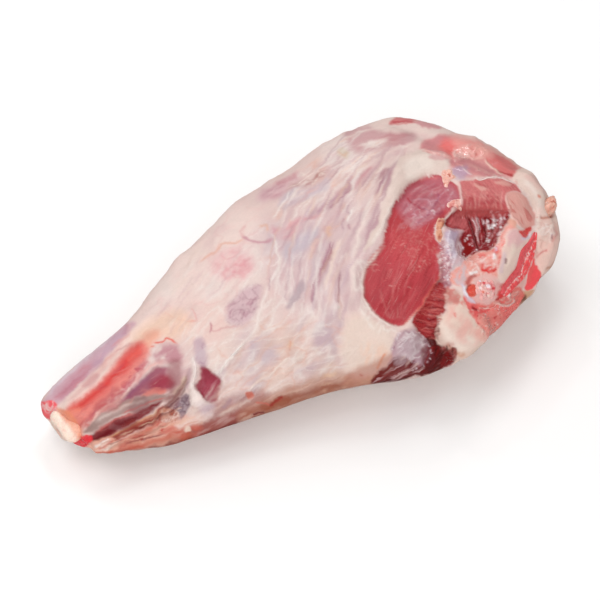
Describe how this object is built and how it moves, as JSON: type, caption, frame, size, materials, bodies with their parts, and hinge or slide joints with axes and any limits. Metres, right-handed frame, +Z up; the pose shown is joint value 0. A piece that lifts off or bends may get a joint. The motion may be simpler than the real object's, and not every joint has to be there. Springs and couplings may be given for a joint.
{
  "type": "raw leg of lamb",
  "caption": "Raw leg of lamb, bone in: a long fleshy wedge under fat and silverskin, narrowing to a sawn shank bone, with bare red lean and a sawn hip bone showing at the rump.",
  "frame": {"origin": "on the surface that the leg lies on, under the middle of its box", "axes": "+Z up, +X along the leg from the sawn shank to the rump, +Y towards the shin side; the inner side of the leg faces up"},
  "size_m": [0.3702, 0.199, 0.1043],
  "materials": {
    "flesh": "moist raw lamb: pale cream-pink fat and silverskin over mauve muscle, with bare red lean at the rump, softly glossy and wet in the hollows",
    "bone": "moist sawn bone and gristle, cream at the rim and pink to red in the spongy middle"
  },
  "bodies": {
    "root": {"meat": "flesh", "shank_bone": "bone", "hip_bone": "bone"}
  },
  "joints": []
}
